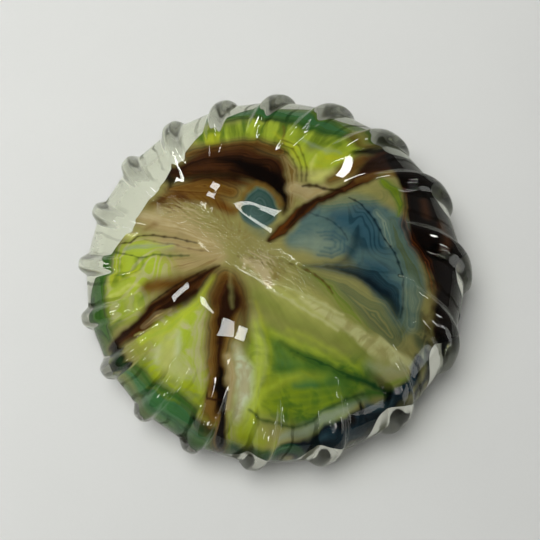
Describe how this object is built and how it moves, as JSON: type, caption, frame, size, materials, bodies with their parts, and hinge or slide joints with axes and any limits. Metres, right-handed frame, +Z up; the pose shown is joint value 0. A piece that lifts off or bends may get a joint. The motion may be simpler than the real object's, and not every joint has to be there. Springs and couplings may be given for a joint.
{
  "type": "glass shell paperweight",
  "caption": "Solid glass paperweight shaped like a ribbed scallop shell: a fan of coloured glass under a clear ribbed casing, with a flat ground base.",
  "frame": {"origin": "middle of the overall box, on the ground face that the weight stands on", "axes": "+Z up, +Y towards the shell's hinge, -Y towards its lip, +X to the right of someone who faces the lip"},
  "size_m": [0.0928, 0.0934, 0.0275],
  "materials": {
    "clear_glass": "polished clear, faint grey-green",
    "opal_glass": "cloudy khaki, polished on the ground face",
    "amber_glass": "cloudy amber",
    "blue_glass": "streaked blue",
    "dark_blue_glass": "dark blue",
    "brown_glass": "streaked brown",
    "dark_brown_glass": "near-black brown",
    "yellow_glass": "yellow-green",
    "lime_glass": "lime with green swirls",
    "green_glass": "green with lime swirls",
    "cream_glass": "cloudy cream",
    "dark_green_glass": "deep green",
    "teal_glass": "teal green"
  },
  "bodies": {
    "root": {"ribbed_casing": "clear_glass", "opal_core": "opal_glass", "amber_crown": "amber_glass", "amber_hinge": "amber_glass", "blue_pool": "blue_glass", "blue_eye": "blue_glass", "blue_lip": "dark_blue_glass", "brown_arm": "brown_glass", "brown_streak_left": "brown_glass", "brown_streak_front": "brown_glass", "brown_arch": "dark_brown_glass", "brown_rim": "dark_brown_glass", "yellow_patch": "yellow_glass", "green_swirl": "lime_glass", "lime_patch": "lime_glass", "green_field": "green_glass", "cream_ridge": "cream_glass", "green_rim_back": "dark_green_glass", "green_rim_left": "dark_green_glass", "teal_rim_front": "teal_glass"}
  },
  "joints": []
}
